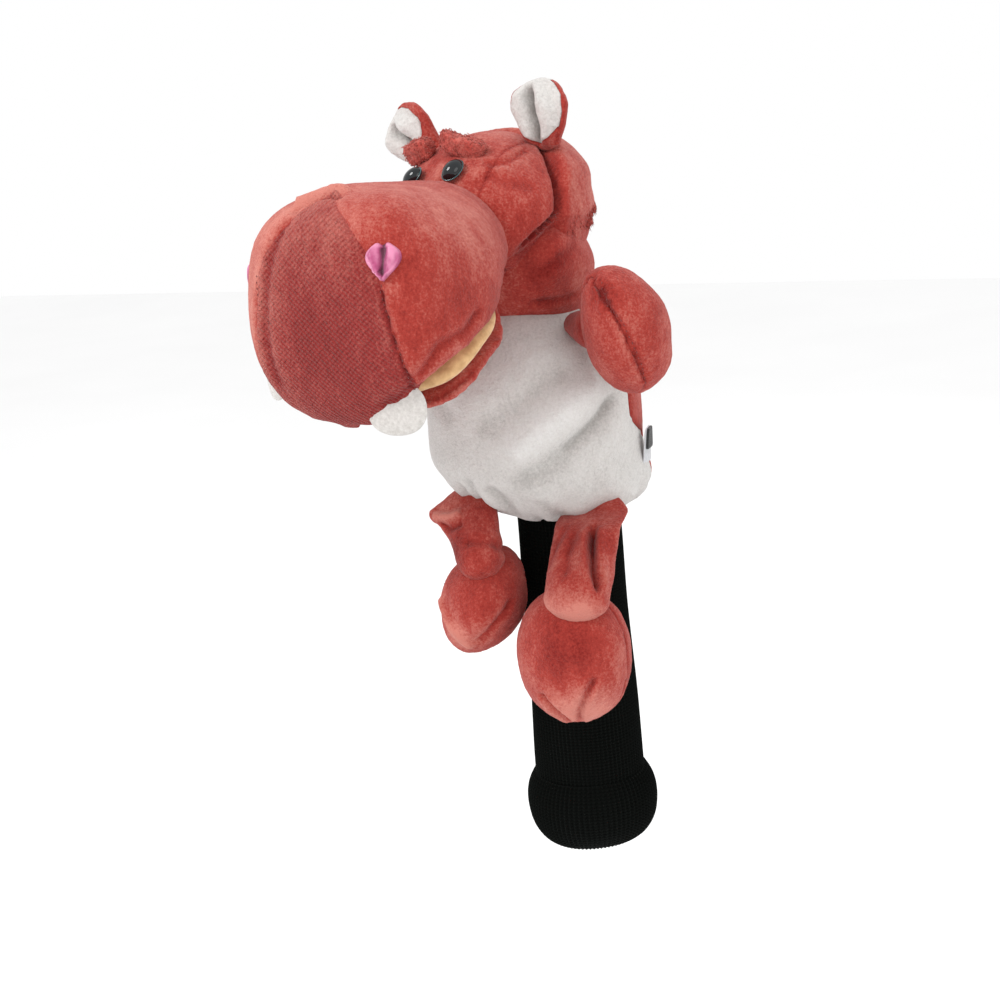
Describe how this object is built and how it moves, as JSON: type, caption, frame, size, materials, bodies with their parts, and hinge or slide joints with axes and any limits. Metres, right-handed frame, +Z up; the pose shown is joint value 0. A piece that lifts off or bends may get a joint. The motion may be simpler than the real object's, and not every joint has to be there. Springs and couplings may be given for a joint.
{
  "type": "driver head cover",
  "caption": "Plush hippopotamus golf driver head cover with a padded body pocket, stuffed head, hinged soft limbs and a long black knitted sock.",
  "frame": {"origin": "centre of the sock cuff's mouth, where the club's shaft leaves", "axes": "+Z up the sock along the shaft, towards the animal's head; the belly faces -Y; the animal's left side is +X"},
  "size_m": [0.2336, 0.2409, 0.4842],
  "materials": {
    "plush_coral": "short pile",
    "plush_coral_face": "short ribbed pile",
    "plush_white": "short pile",
    "lining_tan": "brushed",
    "felt_white": "felt",
    "satin_pink": "satin",
    "eye_black": "polished",
    "washer_nylon": "moulded",
    "knit_black": "fine rib knit",
    "elastic": "covered elastic",
    "filling": "polyester fibre",
    "pocket_fleece": "brushed fleece",
    "label_satin": "satin ribbon",
    "loop_black": "woven tape"
  },
  "bodies": {
    "cover": {"knit_sock": "knit_black", "knit_cuff": "knit_black", "cuff_elastic": "elastic", "belly_panel": "plush_white", "back_panel": "plush_coral", "body_padding": "filling", "pocket_liner": "pocket_fleece", "care_label": "label_satin", "label_loop": "loop_black"},
    "neck": {"neck_panel": "plush_coral", "neck_filling": "filling"},
    "head": {"head_crown": "plush_coral", "head_side_left": "plush_coral", "head_side_right": "plush_coral", "head_filling": "filling", "brow_left": "plush_coral", "brow_right": "plush_coral", "eye_left": "eye_black", "eye_right": "eye_black", "eye_washer_left": "washer_nylon", "eye_washer_right": "washer_nylon", "muzzle_front": "plush_coral_face", "muzzle_wrap": "plush_coral", "muzzle_filling": "filling", "palate_lining": "lining_tan", "nostril_left": "satin_pink", "nostril_right": "satin_pink", "tooth_left": "felt_white", "tooth_right": "felt_white"},
    "jaw": {"jaw_panel": "plush_coral", "jaw_lining": "lining_tan", "jaw_filling": "filling"},
    "ear_left": {"ear_left_back": "plush_coral", "ear_left_lining": "plush_white"},
    "ear_right": {"ear_right_back": "plush_coral", "ear_right_lining": "plush_white"},
    "arm_left": {"arm_left_sleeve": "plush_coral", "paw_left_back": "plush_coral", "paw_left_palm": "plush_coral", "paw_left_filling": "filling"},
    "arm_right": {"arm_right_sleeve": "plush_coral", "paw_right_back": "plush_coral", "paw_right_palm": "plush_coral", "paw_right_filling": "filling"},
    "leg_left": {"thigh_left": "plush_coral"},
    "foot_left": {"foot_left_sole": "plush_coral", "foot_left_upper": "plush_coral", "foot_left_filling": "filling"},
    "leg_right": {"thigh_right": "plush_coral"},
    "foot_right": {"foot_right_sole": "plush_coral", "foot_right_upper": "plush_coral", "foot_right_filling": "filling"}
  },
  "joints": [
    {"name": "neck_turn", "type": "hinge", "parent": "cover", "child": "neck", "pos_m": [-0.014, -0.007, 0.368], "axis": [0, 0, 1], "range_deg": [-15, 15], "stiffness_Nm_per_rad": 1.2},
    {"name": "head_nod", "type": "hinge", "parent": "neck", "child": "head", "pos_m": [-0.014, -0.007, 0.368], "axis": [0.9799, -0.1994, 0], "range_deg": [-12, 10], "stiffness_Nm_per_rad": 3, "springref_deg": -2.29},
    {"name": "jaw_open", "type": "hinge", "parent": "head", "child": "jaw", "pos_m": [-0.03678, -0.0738, 0.358], "axis": [0.9799, -0.1994, 0], "range_deg": [0, 14], "stiffness_Nm_per_rad": 0.3, "springref_deg": -1.72},
    {"name": "ear_left_fold", "type": "hinge", "parent": "head", "child": "ear_left", "pos_m": [0.01134, -0.01387, 0.44559], "axis": [0.9437, 0.3183, -0.0905], "range_deg": [-30, 30], "stiffness_Nm_per_rad": 0.02},
    {"name": "ear_right_fold", "type": "hinge", "parent": "head", "child": "ear_right", "pos_m": [-0.06489, -0.00348, 0.44074], "axis": [0.4458, -0.6009, 0.6634], "range_deg": [-30, 30], "stiffness_Nm_per_rad": 0.02},
    {"name": "arm_left_swing", "type": "hinge", "parent": "cover", "child": "arm_left", "pos_m": [0.03059, -0.03071, 0.34], "axis": [0.4695, 0.8829, 0], "range_deg": [-13, 20], "stiffness_Nm_per_rad": 0.3, "springref_deg": -1.15},
    {"name": "arm_right_swing", "type": "hinge", "parent": "cover", "child": "arm_right", "pos_m": [-0.06438, -0.01052, 0.34], "axis": [0.0698, -0.9976, 0], "range_deg": [-13, 20], "stiffness_Nm_per_rad": 0.3, "springref_deg": -1.15},
    {"name": "leg_left_swing", "type": "hinge", "parent": "cover", "child": "leg_left", "pos_m": [0.031, -0.049, 0.227], "axis": [-1, 0, 0], "range_deg": [0, 60]},
    {"name": "foot_left_swing", "type": "hinge", "parent": "leg_left", "child": "foot_left", "pos_m": [0.03, -0.06, 0.19], "axis": [-1, 0, 0], "range_deg": [0, 25]},
    {"name": "leg_right_swing", "type": "hinge", "parent": "cover", "child": "leg_right", "pos_m": [-0.05, -0.045, 0.23], "axis": [-1, 0, 0], "range_deg": [0, 60]},
    {"name": "foot_right_swing", "type": "hinge", "parent": "leg_right", "child": "foot_right", "pos_m": [-0.046, -0.049, 0.207], "axis": [-1, 0, 0], "range_deg": [0, 25]}
  ]
}
